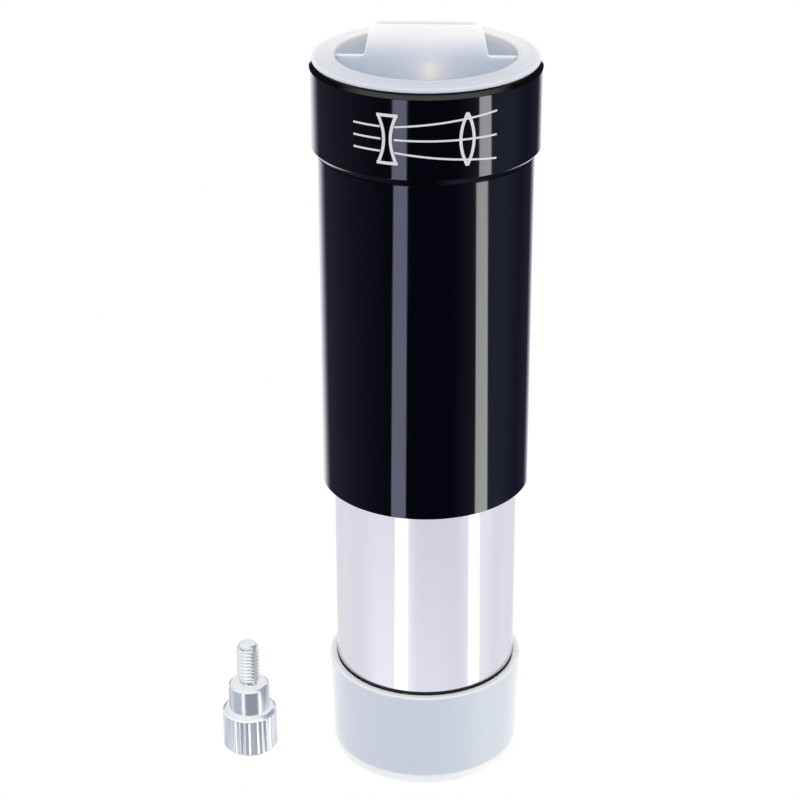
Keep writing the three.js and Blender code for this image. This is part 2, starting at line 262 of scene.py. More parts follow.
def turned(name, outline, segments=SEGMENTS, shape=None):
    """A turned solid from (radius, height) points, anticlockwise round the section.

    An outline that starts on the axis ends on it; any other closes on itself as a ring.
    shape(radius, height, angle) may give back another radius, for flutes and threads.
    """
    solid = outline[0][0] == 0
    bm = bmesh.new()
    rows = []
    for radius, height in outline:
        if radius == 0:
            rows.append([bm.verts.new((0, 0, height))] * segments)
            continue
        row = []
        for j in range(segments):
            angle = 2 * pi * j / segments
            here = shape(radius, height, angle) if shape else radius
            row.append(bm.verts.new((here * cos(angle), here * sin(angle), height)))
        rows.append(row)
    pairs = list(zip(rows, rows[1:]))
    if not solid:
        pairs.append((rows[-1], rows[0]))
    for lower, upper in pairs:
        for j in range(segments):
            k = (j + 1) % segments
            corners = dict.fromkeys((lower[j], lower[k], upper[k], upper[j]))
            if len(corners) > 2:
                bm.faces.new(corners)
    return mesh_object(name, bm)


def boolean(piece, tool, operation):
    """Joins the tool to the piece, or cuts it out, and removes the tool."""
    modifier = piece.modifiers.new("boolean", "BOOLEAN")
    modifier.operation = operation
    modifier.solver = "EXACT"
    modifier.object = tool
    bpy.context.view_layer.update()
    graph = bpy.context.evaluated_depsgraph_get()
    result = bpy.data.meshes.new_from_object(piece.evaluated_get(graph))
    piece.modifiers.clear()
    piece.data = result
    bpy.data.objects.remove(tool)
    return piece


def plate(name, outline, thickness, edge):
    """A flat plate standing on the XZ plane, with its long edges rounded."""
    curve = bpy.data.curves.new(name, "CURVE")
    curve.dimensions = "2D"
    curve.fill_mode = "BOTH"
    spline = curve.splines.new("POLY")
    spline.points.add(len(outline) - 1)
    for point, (x, z) in zip(spline.points, outline):
        point.co = (x, z, 0, 1)
    spline.use_cyclic_u = True
    curve.extrude = thickness / 2 - edge
    curve.bevel_depth = edge
    curve.bevel_resolution = 3
    curve.offset = -edge
    holder = add_object(name, curve)
    holder.rotation_euler.x = pi / 2
    bpy.context.view_layer.update()
    mesh = bpy.data.meshes.new_from_object(holder.evaluated_get(bpy.context.evaluated_depsgraph_get()))
    mesh.transform(holder.matrix_world)
    bpy.data.objects.remove(holder)
    bm = bmesh.new()
    bm.from_mesh(mesh)
    bpy.data.meshes.remove(mesh)
    bmesh.ops.remove_doubles(bm, verts=bm.verts, dist=0.001 * MM)
    bmesh.ops.recalc_face_normals(bm, faces=bm.faces)
    return mesh_object(name, bm)


def smooth(piece):
    """Smooth shading that keeps flat faces flat and real edges sharp."""
    mesh = piece.data
    mesh.polygons.foreach_set("use_smooth", [True] * len(mesh.polygons))
    mesh.set_sharp_from_angle(angle=SHARP_ANGLE)
    modifier = piece.modifiers.new("normals", "WEIGHTED_NORMAL")
    modifier.keep_sharp = True


def finish_piece(piece, node, *materials):
    """Gives a piece its materials and puts it in a CAD node's place."""
    smooth(piece)
    for material in materials:
        piece.data.materials.append(material)
    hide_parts(node)
    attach(piece, BODY_OF[node])
    return piece


def inside_paint(piece, radius, lowest=0.0):
    """Second material on every face that is nearer the axis than radius and higher than lowest."""
    for face in piece.data.polygons:
        centre = face.center
        if hypot(centre.x, centre.y) < radius and centre.z > lowest:
            face.material_index = 1


# ------------------------ threads and levels


def thread_rise(height, angle, pitch, flat=0.2):
    """How far a right-handed thread stands above its root, from 0 to 1, with flats on crest and root."""
    phase = (height / pitch - angle / (2 * pi)) % 1
    return min(max((abs(2 * phase - 1) - flat) / (1 - 2 * flat), 0), 1)


def steps(first, last, length):
    """Evenly spaced values from first to last, about length apart."""
    count = max(1, round(abs(last - first) / length))
    return [first + (last - first) * i / count for i in range(count + 1)]


# ------------------------ material helpers


class Nodes:
    """Short ways to add texture nodes to a tree. place is the coordinate socket; lengths are metres."""

    def __init__(self, tree):
        self.tree = tree
        self.place = tree.nodes.new("ShaderNodeTexCoord").outputs["Object"]

    def link(self, source, target):
        self.tree.links.new(source, target)

    def put(self, socket, value):
        """Links a socket to the value, or sets it as a number or a colour."""
        if isinstance(value, bpy.types.NodeSocket):
            self.link(value, socket)
        elif isinstance(value, tuple) and len(socket.default_value) == 4:
            socket.default_value = (*value, 1)
        else:
            socket.default_value = value

    def math(self, operation, *values):
        node = self.tree.nodes.new("ShaderNodeMath")
        node.operation = operation
        for socket, value in zip(node.inputs, values):
            self.put(socket, value)
        return node.outputs[0]

    def vector_math(self, operation, **sockets):
        node = self.tree.nodes.new("ShaderNodeVectorMath")
        node.operation = operation
        for name, value in sockets.items():
            index = {"first": 0, "second": 1}.get(name, name)
            self.put(node.inputs[index], value)
        return node.outputs["Vector"]

    def axes(self, vector):
        """The X, Y and Z sockets of a vector."""
        node = self.tree.nodes.new("ShaderNodeSeparateXYZ")
        self.link(vector, node.inputs[0])
        return node.outputs["X"], node.outputs["Y"], node.outputs["Z"]

    def noise(self, size, detail=3.0, stretch=(1, 1, 1)):
        """Noise from 0 to 1, with blotches about as large as size, stretched along each axis."""
        mapping = self.tree.nodes.new("ShaderNodeMapping")
        mapping.inputs["Scale"].default_value = [1 / (size * part) for part in stretch]
        texture = self.tree.nodes.new("ShaderNodeTexNoise")
        texture.inputs["Scale"].default_value = 1.0
        texture.inputs["Detail"].default_value = detail
        self.link(self.place, mapping.inputs["Vector"])
        self.link(mapping.outputs["Vector"], texture.inputs["Vector"])
        return texture.outputs["Fac"]

    def remap(self, source, low, high, from_low=0.0, from_high=1.0):
        """A smooth step from low to high as the source goes between two values."""
        node = self.tree.nodes.new("ShaderNodeMapRange")
        node.interpolation_type = "SMOOTHSTEP"
        self.link(source, node.inputs["Value"])
        for socket, value in zip(node.inputs[1:5], (from_low, from_high, low, high)):
            self.put(socket, value)
        return node.outputs["Result"]

    def blend(self, factor, first, second):
        """A colour from first to second."""
        node = self.tree.nodes.new("ShaderNodeMix")
        node.data_type = "RGBA"
        self.link(factor, node.inputs["Factor"])
        self.put(node.inputs[6], first)
        self.put(node.inputs[7], second)
        return node.outputs[2]

    def distance_from_axis(self, x=0.0, y=0.0):
        """How far a point stands from an upright line."""
        across, along, _ = self.axes(self.place)
        dx = self.math("SUBTRACT", across, x)
        dy = self.math("SUBTRACT", along, y)
        squares = self.math("ADD", self.math("MULTIPLY", dx, dx), self.math("MULTIPLY", dy, dy))
        return self.math("SQRT", squares)


class Shader(Nodes):
    """A material with one Principled shader."""

    def __init__(self, name, **sockets):
        self.material = bpy.data.materials.new(name)
        self.material.use_nodes = True
        super().__init__(self.material.node_tree)
        self.principled = self.tree.nodes["Principled BSDF"]
        for socket, value in sockets.items():
            self.principled.inputs[socket.replace("_", " ")].default_value = value

    def drive(self, socket, source):
        self.link(source, self.principled.inputs[socket])

    def mottle(self, pattern, dark, light, *roughness):
        """Drives the colour and the roughness with one pattern."""
        self.drive("Base Color", self.blend(pattern, dark, light))
        self.drive("Roughness", self.remap(pattern, *roughness))

    def bump(self, source, depth, strength):
        """Raises the surface by up to depth where the source is high."""
        node = self.tree.nodes.new("ShaderNodeBump")
        node.inputs["Strength"].default_value = strength
        node.inputs["Distance"].default_value = depth
        self.link(source, node.inputs["Height"])
        self.drive("Normal", node.outputs["Normal"])


# ------------------------ materials


def black_anodised():
    """Gloss black anodising over a fine turned finish, with faint smears."""
    shader = Shader("black_anodised", IOR=1.5)
    smears = shader.noise(9 * MM, 4, (1, 1, 2.5))
    shader.mottle(smears, (0.0006, 0.0006, 0.0018), (0.0011, 0.0011, 0.0028), 0.035, 0.085, 0.25, 0.8)
    marks = shader.noise(0.12 * MM, 2, (90, 90, 1))
    shader.bump(marks, 0.002 * MM, 0.12)
    return shader.material


def matt_black():
    """Matt black paint on the inner faces."""
    shader = Shader("matt_black", IOR=1.45)
    grain = shader.noise(0.25 * MM, 4)
    shader.mottle(grain, (0.006, 0.006, 0.007), (0.016, 0.016, 0.017), 0.55, 0.85)
    shader.bump(grain, 0.02 * MM, 0.5)
    return shader.material


def chrome():
    """Polished chrome plating, with the faint drift in tone that polishing leaves."""
    shader = Shader("chrome", Metallic=1.0)
    drift = shader.noise(7 * MM, 3, (1, 1, 9))
    shader.drive("Base Color", shader.blend(drift, (0.54, 0.54, 0.585), (0.565, 0.565, 0.605)))
    shader.drive("Roughness", shader.remap(shader.noise(3 * MM, 5), 0.035, 0.075))
    shader.bump(shader.noise(0.3 * MM, 2, (60, 60, 1)), 0.001 * MM, 0.1)
    return shader.material


def bright_aluminium(x, y, root, crest):
    """Turned bright aluminium, with painted shade: the flute roots are painted darker than each flute's
    crest.
    """
    shader = Shader("bright_aluminium", Metallic=1.0)
    reach = shader.distance_from_axis(x, y)
    root_shade_mask = shader.remap(reach, 0.0, 1.0, root, crest)
    grain = shader.noise(0.35 * MM, 4, (6, 6, 1))
    tone = shader.blend(grain, (0.58, 0.6, 0.63), (0.66, 0.67, 0.695))
    # painted shade: the grain tone is kept at the flute roots and blended to a bright colour at each crest
    shader.drive("Base Color", shader.blend(root_shade_mask, tone, (0.82, 0.825, 0.835)))
    shader.drive("Roughness", shader.remap(grain, 0.15, 0.25))
    shader.bump(shader.noise(0.09 * MM, 2, (80, 80, 1)), 0.002 * MM, 0.3)
    return shader.material


def milky(name, scatter, sheen):
    """Polyethylene that scatters light, with a fine grain. The colour is still to be driven."""
    shader = Shader(name, IOR=1.5, Subsurface_Weight=scatter, Subsurface_Scale=1.4 * MM, Sheen_Weight=sheen)
    shader.principled.inputs["Subsurface Radius"].default_value = (0.8, 0.8, 0.8)
    shader.principled.inputs["Sheen Roughness"].default_value = 0.4
    grain = shader.noise(0.5 * MM, 4)
    shader.drive("Roughness", shader.remap(grain, 0.36, 0.5))
    shader.bump(grain, 0.012 * MM, 0.25)
    return shader


def milky_cup(floor_top, rim):
    """The lower cap: white in the thick floor and along the rim, and painted a darker bluish grey on the
    thin wall, painted shade of the black cell behind it. The inner edge of the rim is painted lighter,
    painted light where the barrel shades it.
    """
    shader = milky("milky_cup", 0.6, 0.9)
    shader.principled.inputs["Sheen Tint"].default_value = (1.0, 0.98, 0.93, 1.0)
    height = shader.axes(shader.place)[2]
    in_floor = shader.remap(height, 1.0, 0.0, floor_top, floor_top + 0.5 * MM)
    in_rim = shader.remap(height, 0.0, 1.0, rim - 0.24 * MM, rim - 0.04 * MM)
    clouds = shader.noise(11 * MM, 3)
    # painted shade: the thin wall's darker bluish grey stands in for the black cell behind it
    wall = shader.blend(clouds, (0.565, 0.605, 0.71), (0.59, 0.63, 0.735))
    thick = (0.83, 0.835, 0.87)
    reach = shader.distance_from_axis()
    outward = shader.remap(reach, 0.0, 1.0, BOTTOM_CAP["bore"] + 0.2 * MM, BOTTOM_CAP["bore"] + 0.9 * MM)
    # painted light: the rim's inner edge, which the barrel shades, is painted lighter than the rest of the
    # rim
    lip_painted_light = shader.blend(outward, (0.93, 0.93, 0.95), thick)
    shader.drive("Base Color", shader.blend(in_rim, shader.blend(in_floor, wall, thick), lip_painted_light))
    return shader.material


def milky_plug(seat, top):
    """The upper cap, with painted shade and light: darker and bluish low down in the black collar, and
    whiter up the pull tab.

    The flange lies over the collar. The flange and the inner wall above the collar are painted darker at the
    front and whiter at the back. A grey band of painted shade runs along the pull tab's top edge.
    """
    shader = milky("milky_plug", 1.0, 0.1)
    _, along, height = shader.axes(shader.place)
    clouds = shader.noise(9 * MM, 3)
    # painted shade: the web and the cup are painted darker and bluer low down in the black collar, and
    # whiter up the pull tab
    deep_shade = shader.blend(clouds, (0.59, 0.63, 0.705), (0.64, 0.685, 0.755))
    rise = shader.remap(height, 0.0, 1.0, seat - 0.5 * MM, seat + 5.2 * MM)
    web = shader.blend(rise, deep_shade, (0.93, 0.915, 0.92))
    reach = shader.distance_from_axis()
    on_wall = shader.remap(reach, 0.0, 1.0, TOP_CAP["recess"] - 0.8 * MM, TOP_CAP["recess"] - 0.4 * MM)
    above_seat = shader.remap(height, 0.0, 1.0, seat - 0.25 * MM, seat + 0.05 * MM)
    lighter_to_back = shader.remap(along, 0.0, 1.0, -18 * MM, 18 * MM)
    # painted shade at the front of the inner wall above the seat, and painted light at its back
    lip_painted_light = shader.blend(lighter_to_back, (0.37, 0.4, 0.46), (0.76, 0.75, 0.74))
    inside = shader.blend(shader.math("MULTIPLY", on_wall, above_seat), web, lip_painted_light)
    on_flange = shader.remap(reach, 0.0, 1.0, TOP_CAP["recess"], TOP_CAP["plug"] + 0.6 * MM)
    # painted shade at the flange's front, and painted light at its back
    flange = shader.blend(lighter_to_back, (0.52, 0.535, 0.605), (0.74, 0.74, 0.755))
    tone = shader.blend(on_flange, inside, flange)
    # painted shade: a grey band along the top edge of the pull tab
    top_edge_shade = shader.remap(height, 0.0, 1.0, top - 0.4 * MM, top - 0.22 * MM)
    shader.drive("Base Color", shader.blend(top_edge_shade, tone, (0.6, 0.6, 0.61)))
    return shader.material


def nylon():
    """Natural nylon, slightly translucent."""
    shader = Shader("nylon", IOR=1.53, Subsurface_Weight=0.2)
    shader.principled.inputs["Subsurface Radius"].default_value = (1.0 * MM, 0.9 * MM, 0.7 * MM)
    shader.principled.inputs["Subsurface Scale"].default_value = 1.0
    grain = shader.noise(0.6 * MM, 3)
    shader.mottle(grain, (0.72, 0.7, 0.62), (0.82, 0.8, 0.74), 0.45, 0.65)
    return shader.material


def coated_glass():
    """Polished glass with a green multi-coating."""
    shader = Shader("coated_glass", Transmission_Weight=1.0, IOR=1.52, Coat_Weight=0.6, Coat_Roughness=0.02)
    shader.principled.inputs["Coat Tint"].default_value = (0.55, 0.95, 0.7, 1)
    dust = shader.noise(0.8 * MM, 5)
    shader.mottle(dust, (0.93, 0.99, 0.95), (0.97, 1.0, 0.98), 0.0, 0.03, 0.5, 0.9)
    return shader.material


def white_ink():
    """Pad-printed white ink."""
    shader = Shader("white_ink", IOR=1.45)
    speckle = shader.noise(0.18 * MM, 3)
    shader.mottle(speckle, (0.62, 0.62, 0.65), (0.74, 0.74, 0.77), 0.35, 0.5)
    return shader.material


# ------------------------ dust caps


def bottom_cap(material):
    """The cup that it stands in. Its underside is let in a little, inside a foot ring."""
    foot, top, rim = measures("bottom_cap")
    inner_ring = BOTTOM_CAP["foot"] - BOTTOM_CAP["foot_ring"]
    recess = foot + BOTTOM_CAP["recess"]
    floor_top = foot + BOTTOM_CAP["floor"]
    outline = rounded(
        [
            (0, recess),
            (inner_ring - BOTTOM_CAP["recess"], recess, 0.2 * MM),
            (inner_ring, foot, 0.1 * MM),
            (BOTTOM_CAP["foot"], foot, 0.55 * MM),
            (BOTTOM_CAP["wall"], top - BOTTOM_CAP["flare"], BOTTOM_CAP["flare_arc"]),
            (rim, top, 0.28 * MM),
            (BOTTOM_CAP["bore"], top, 0.1 * MM),
            (BOTTOM_CAP["bore"], floor_top, 0.4 * MM),
            (0, floor_top),
        ]
    )
    return finish_piece(turned("bottom_cap_moulded", outline), "bottom_cap", material)


def top_cap_cup():
    """The plug, the cup in it, and the flange that lies on the collar."""
    foot = heights("top_cap")[0]
    seat = heights("eyepiece_collar")[1] + SEAT_GAP
    flange_radius = outer_radius("top_cap") / cos(CAP_TURN)
    flange_rim = seat + TOP_CAP["flange_rim"]
    crest = seat + TOP_CAP["crest"]
    slope_width, slope_height = TOP_CAP["crest_slope"]
    floor_top = foot + TOP_CAP["floor"]
    plug, cup = TOP_CAP["plug"], TOP_CAP["recess"]
    outline = rounded(
        [
            (0, foot),
            (plug, foot, 0.5 * MM),
            (plug, seat, 0.1 * MM),
            (flange_radius, seat, 0.15 * MM),
            (flange_radius, flange_rim, 0.24 * MM),
            (flange_radius - TOP_CAP["flange_rim_width"], flange_rim, 0.3 * MM),
            (flange_radius - TOP_CAP["flange_dip_start"], seat + TOP_CAP["flange_dip"], 0.3 * MM),
            (plug + slope_width, crest - slope_height, 0.6 * MM),
            (plug, crest, 0.5 * MM),
            (cup, crest, 0.45 * MM),
            (cup - TOP_CAP["cup_draft"], floor_top, 0.9 * MM),
            (0, floor_top),
        ]
    )
    return turned("top_cap_moulded", outline)


def top_cap_web():
    """The web across the cup, and the pull tab that rises from its middle."""
    foot, top = heights("top_cap")
    web_foot = foot + TOP_CAP["floor"] / 2
    web_top = heights("eyepiece_collar")[1] + SEAT_GAP + TOP_CAP["crest"] - TOP_CAP["web_drop"]
    half, tab_foot, tab_top = TOP_CAP["web_half"], TOP_CAP["tab_foot"], TOP_CAP["tab_top"]
    outline = rounded(
        [
            (half, web_foot),
            (half, web_top),
            (tab_foot, web_top, 0.35 * MM),
            (tab_top, top, TOP_CAP["tab_corner"]),
            (-tab_top, top, TOP_CAP["tab_corner"]),
            (-tab_foot, web_top, 0.35 * MM),
            (-half, web_top),
            (-half, web_foot),
        ]
    )
    return plate("web", outline, TOP_CAP["web"], TOP_CAP["edge"])


def top_cap(material):
    """The cup and the web in one, turned a little out of line as in the photo."""
    piece = boolean(top_cap_cup(), top_cap_web(), "UNION")
    piece.data.transform(Matrix.Rotation(CAP_TURN, 4, "Z"))
    return finish_piece(piece, "top_cap", material)


# ------------------------ lens cell and its glass


def lens_cell(black, matt):
    """The cell. A filter goes in its mouth, the retaining ring above that, and the glass above the ring."""
    foot, _, radius = measures("lens_cell")
    shoulder = heights("nosepiece_barrel")[0] - SEAT_GAP
    seat = heights("rear_lens")[1] + SEAT_GAP
    spigot_top = shoulder + CELL["spigot_length"]
    mouth, step = CELL["mouth"], CELL["mouth_step"]
    slope_foot, slope_top = CELL["mouth_step_top"]
    mouth_top = foot + CELL["mouth_depth"]
    ring_top = heights("retaining_ring")[1] + SEAT_GAP
    outline = rounded(
        [
            (mouth + step, foot),
            (radius, foot, 0.3 * MM),
            (radius, shoulder, 0.12 * MM),
            (CELL["spigot"], shoulder),
            (CELL["spigot"], spigot_top, 0.2 * MM),
            (CELL["aperture"], spigot_top, 0.2 * MM),
            (CELL["aperture"], seat),
            (CELL["bore"], seat),
            (CELL["bore"], ring_top),
            (CELL["ring_bore"], ring_top),
            (CELL["ring_bore"], mouth_top),
            (mouth, mouth_top),
            (mouth, foot + slope_top),
            (mouth + step, foot + slope_foot),
        ]
    )
    piece = turned("lens_cell_turned", outline)
    finish_piece(piece, "lens_cell", black, matt)
    inside_paint(piece, mouth, mouth_top)
    return piece


def plain_ring(node, making, edge, material):
    """A ring with rounded edges, as large as its CAD node outside."""
    foot, top, radius = measures(node)
    inner = RING_HOLE[node]
    outline = rounded([(inner, foot, edge), (radius, foot, edge), (radius, top, edge), (inner, top, edge)])
    return finish_piece(turned(node + making, outline), node, material)


def retaining_ring(material):
    """A ring with a spanner slot on each side of its lower face."""
    foot, top, radius = measures("retaining_ring")
    inner = RING_HOLE["retaining_ring"]
    outline = rounded(
        [(inner, foot, 0.25 * MM), (radius, foot, 0.2 * MM), (radius, top, 0.2 * MM), (inner, top, 0.3 * MM)]
    )
    piece = turned("retaining_ring_turned", outline)
    bm = bmesh.new()
    size = Matrix.Diagonal((3 * radius, SPANNER_SLOT["width"], 2 * SPANNER_SLOT["depth"], 1))
    bmesh.ops.create_cube(bm, size=1, matrix=Matrix.Translation((0, 0, foot)) @ size)
    boolean(piece, mesh_object("slot", bm), "DIFFERENCE")
    return finish_piece(piece, "retaining_ring", material)


def sag(curve, radius):
    """How far a spherical surface stands above its centre. A negative curve falls away."""
    rise = abs(curve) - sqrt(curve**2 - radius**2)
    return rise if curve > 0 else -rise


def lens(node, lower_curve, upper_curve, centre_foot, centre_top, glass, edge_paint):
    """A lens with its rim painted black. A curve of None is flat."""

    def surface(height, curve):
        radii = steps(0, GLASS_RADIUS, GLASS_RADIUS / 18)
        return [(radius, height + (sag(curve, radius) if curve else 0)) for radius in radii]

    outline = surface(centre_foot, lower_curve) + surface(centre_top, upper_curve)[::-1]
    piece = turned(node + "_polished", outline)
    finish_piece(piece, node, glass, edge_paint)
    for face in piece.data.polygons:
        if hypot(face.center.x, face.center.y) > 0.995 * GLASS_RADIUS:
            face.material_index = 1
    return piece


def glass_elements(glass, edge_paint):
    """The front singlet, and the cemented doublet behind it."""
    front_foot = heights("front_lens")[0]
    front_top = heights("front_lens")[1] - sag(CURVE["front_upper"], GLASS_RADIUS)
    ed_foot = heights("ed_lens")[0] - sag(CURVE["ed_lower"], GLASS_RADIUS)
    ed_top = heights("ed_lens")[1] - sag(CURVE["ed_upper"], GLASS_RADIUS)
    rear_foot, rear_top = heights("rear_lens")
    shapes = {
        "front_lens": (CURVE["front_lower"], CURVE["front_upper"], front_foot, front_top),
        "ed_lens": (CURVE["ed_lower"], CURVE["ed_upper"], ed_foot, ed_top),
        "rear_lens": (CURVE["ed_upper"], None, rear_foot, rear_top),
    }
    return [lens(node, *shape, glass, edge_paint) for node, shape in shapes.items()]


# ------------------------ nosepiece and tube


def grooved(radius, depth, first, last, pitch):
    """A bore's wall with a saw-tooth groove every pitch, which keeps stray light down."""
    flank = 0.15 * pitch if last > first else -0.15 * pitch
    points = []
    for height in steps(first, last, pitch)[:-1]:
        points += [(radius, height), (radius + depth, height + flank)]
    return points + [(radius, last)]


def nosepiece(bright, matt):
    """The plated barrel, painted black inside. Its spigot screws into the tube's foot."""
    foot, spigot_top, radius = measures("nosepiece_barrel")
    shoulder = heights("main_tube")[0] + TUBE["recess_depth"] - SEAT_GAP
    thread_top = foot + BARREL["cell_thread_length"]
    baffle_foot, baffle_top = heights("barrel_baffle")
    bore, groove, pitch = BARREL["bore"], BARREL["groove"], BARREL["groove_pitch"]
    outline = rounded(
        [
            (BARREL["cell_thread"], foot, 0.15 * MM),
            (radius, foot, TURNED_EDGE),
            (radius, shoulder, 0.1 * MM),
            (BARREL["spigot"], shoulder),
            (BARREL["spigot"], spigot_top, 0.2 * MM),
            (bore, spigot_top, 0.2 * MM),
            *grooved(bore, groove, spigot_top - GROOVE_END, baffle_top + GROOVE_GAP, pitch),
            *grooved(bore, groove, baffle_foot - GROOVE_GAP, thread_top + GROOVE_END, pitch),
            (bore, thread_top),
            (BARREL["cell_thread"], thread_top),
        ]
    )
    piece = turned("nosepiece_plated", outline)
    finish_piece(piece, "nosepiece_barrel", bright, matt)
    inside_paint(piece, BARREL["cell_thread"] + 0.4 * MM)
    return piece


def main_tube(black, matt):
    """The anodised tube, painted black inside. Its spigot screws into the collar."""
    foot, spigot_top, radius = measures("main_tube")
    shoulder = heights("eyepiece_collar")[0] - SEAT_GAP
    recess_top = foot + TUBE["recess_depth"]
    bore_foot = foot + TUBE["foot_wall"]
    baffle_foot, baffle_top = heights("tube_baffle")
    stop_foot, stop_top = heights("eyepiece_stop")
    bore, groove, pitch = TUBE["bore"], TUBE["groove"], TUBE["groove_pitch"]
    outline = rounded(
        [
            (TUBE["foot_bore"], recess_top),
            (TUBE["recess"], recess_top),
            (TUBE["recess"], foot, TURNED_EDGE),
            (radius, foot, TURNED_EDGE),
            (radius, shoulder, 0.12 * MM),
            (TUBE["spigot"], shoulder),
            (TUBE["spigot"], spigot_top, 0.2 * MM),
            (bore, spigot_top, 0.2 * MM),
            (bore, stop_top),
            *grooved(bore, groove, stop_foot - GROOVE_GAP, baffle_top + GROOVE_GAP, pitch),
            *grooved(bore, groove, baffle_foot - GROOVE_GAP, bore_foot + GROOVE_END, pitch),
            (bore, bore_foot, 0.3 * MM),
            (TUBE["foot_bore"], bore_foot, 0.2 * MM),
        ]
    )
    piece = turned("main_tube_anodised", outline)
    finish_piece(piece, "main_tube", black, matt)
    inside_paint(piece, TUBE["bore"] + 0.5 * MM)
    return piece


def knife_baffle(node, material):
    """A thin ring whose hole is bevelled to a narrow edge."""
    foot, top, radius = measures(node)
    hole = RING_HOLE[node]
    outline = rounded(
        [
            (hole + KNIFE_EDGE["bevel"], foot),
            (radius, foot, TURNED_EDGE),
            (radius, top, TURNED_EDGE),
            (hole, top),
            (hole, top - KNIFE_EDGE["height"]),
        ]
    )
    return finish_piece(turned(node + "_turned", outline), node, material)


# ------------------------ eyepiece collar


def tap(first, last):
    """A threaded rod along +Y, which cuts the thumbscrew's hole."""
    rows = steps(first, last, M4["pitch"] / 10)

    def shape(radius, height, angle):
        rise = thread_rise(height, angle, M4["pitch"])
        return M4["root"] + rise * (M4["crest"] - M4["root"]) + M4["gap"]

    outline = [(0, first), *[(M4["crest"], row) for row in rows], (0, last)]
    rod = turned("tap", outline, 64, shape)
    rod.data.transform(Matrix.Translation((0, 0, SCREW_HOLE_Z)) @ Matrix.Rotation(-pi / 2, 4, "X"))
    return rod


def eyepiece_collar(black):
    """The eyepiece holder, with the thumbscrew's tapped hole in its far side."""
    foot, top = heights("eyepiece_collar")
    radius = outer_radius("eyepiece_collar") - PRINT_DEPTH
    foot_bore_top = heights("main_tube")[1] + SPIGOT_GAP
    bore, mouth, chamfer = EYEPIECE_BORE, COLLAR["mouth"], COLLAR["chamfer"]
    outline = rounded(
        [
            (COLLAR["foot_bore"], foot),
            (radius - chamfer, foot, TURNED_EDGE),
            (radius, foot + COLLAR["foot_chamfer"], 0.12 * MM),
            (radius, top - COLLAR["top_chamfer"], 0.12 * MM),
            (radius - chamfer, top, 0.1 * MM),
            (bore + mouth, top, 0.06 * MM),
            (bore, top - mouth, 0.06 * MM),
            (bore, foot_bore_top),
            (COLLAR["foot_bore"], foot_bore_top),
        ]
    )
    piece = turned("eyepiece_collar_anodised", outline)
    boolean(piece, tap(bore - 0.5 * MM, radius + 0.8 * MM), "DIFFERENCE")
    return finish_piece(piece, "eyepiece_collar", black)


# ------------------------ printed graphic


def stroke(bm, points, width, inner, outer):
    """A printed line round the collar's front. Points are (arc length from the front, height)."""
    rows = []
    for i, point in enumerate(points):
        along = Vector(points[min(i + 1, len(points) - 1)]) - Vector(points[max(i - 1, 0)])
        across = Vector((-along.y, along.x)).normalized() * width / 2
        left, right = Vector(point) + across, Vector(point) - across
        row = []
        for radius in (outer, inner):
            for arc, height in (left, right):
                angle = arc / outer - pi / 2
                row.append(bm.verts.new((radius * cos(angle), radius * sin(angle), height)))
        rows.append(row)
    for near, far in zip(rows, rows[1:]):
        for left, right in ((0, 1), (3, 2), (1, 3), (2, 0)):
            bm.faces.new((near[left], near[right], far[right], far[left]))
    for end in (rows[0], rows[-1]):
        bm.faces.new([end[corner] for corner in (0, 1, 3, 2)])


def straight(start, end, length=0.5 * MM):
    """Points of a straight line, close enough together to follow the collar's curve."""
    start, end = Vector(start), Vector(end)
    return [tuple(start.lerp(end, t)) for t in steps(0, 1, length / (end - start).length)]


def printed_diagram(material):
    """A ray diagram with no lettering: two rays that a negative lens spreads, and a field lens."""
    outer = outer_radius("eyepiece_collar")
    inner = outer - 1.6 * PRINT_DEPTH
    middle = sum(heights("eyepiece_collar")) / 2 + 0.1 * MM
    thin, bold = DIAGRAM["thin"], DIAGRAM["bold"]
    near, far, lens_x = DIAGRAM["near"], DIAGRAM["far"], DIAGRAM["lens"]
    waist, ray = DIAGRAM["lens_waist"], DIAGRAM["ray"]
    bm = bmesh.new()

    def draw(points, width):
        stroke(bm, [(arc, middle + height) for arc, height in points], width, inner, outer)

    def glass_outline(middle_x, half, middle_reach, brim):
        """A lens from the side. It is concave where its brim reaches further than its middle."""
        levels = steps(-half, half, 0.4 * MM)
        side = [(middle_reach + (brim - middle_reach) * (level / half) ** 2, level) for level in levels]
        draw([(middle_x + reach, level) for reach, level in side], bold)
        draw([(middle_x - reach, level) for reach, level in side], bold)
        if brim > 0:
            reach = brim + bold / 2
            for level in (-half, half):
                draw(straight((middle_x - reach, level), (middle_x + reach, level)), bold)

    glass_outline(lens_x, DIAGRAM["lens_half"], waist, DIAGRAM["lens_brim"])
    glass_outline(DIAGRAM["field_lens"], DIAGRAM["field_half"], DIAGRAM["field_waist"], 0)
    draw(straight((near, 0), (lens_x - 2 * waist, 0)), thin)
    draw(straight((lens_x + 2 * waist, 0), (far, 0)), thin)
    for side in (-ray, ray):
        draw(straight((near, side), (lens_x - 2.2 * waist, side)), thin)
        draw(straight((lens_x + 2.2 * waist, side * 1.05), (far, side * DIAGRAM["spread"])), thin)

    bmesh.ops.recalc_face_normals(bm, faces=bm.faces)
    piece = mesh_object("printed_diagram", bm)
    piece.data.materials.append(material)
    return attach(piece, BODY_OF["eyepiece_collar"])


# ------------------------ thumbscrew


def screw_tip(root, tip):
    """The domed end above the thread, up to the flat on the tip."""
    flat, foot = SCREW["tip_radius"], SCREW["thread_top"]
    dome = []
    for step in range(1, DOME_STEPS):
        angle = pi / 2 * step / DOME_STEPS
        dome.append((flat + (root + 0.12 * MM - flat) * cos(angle), foot + (tip - foot) * sin(angle)))
    return [*dome, (flat * 0.6, tip), (0, tip)]


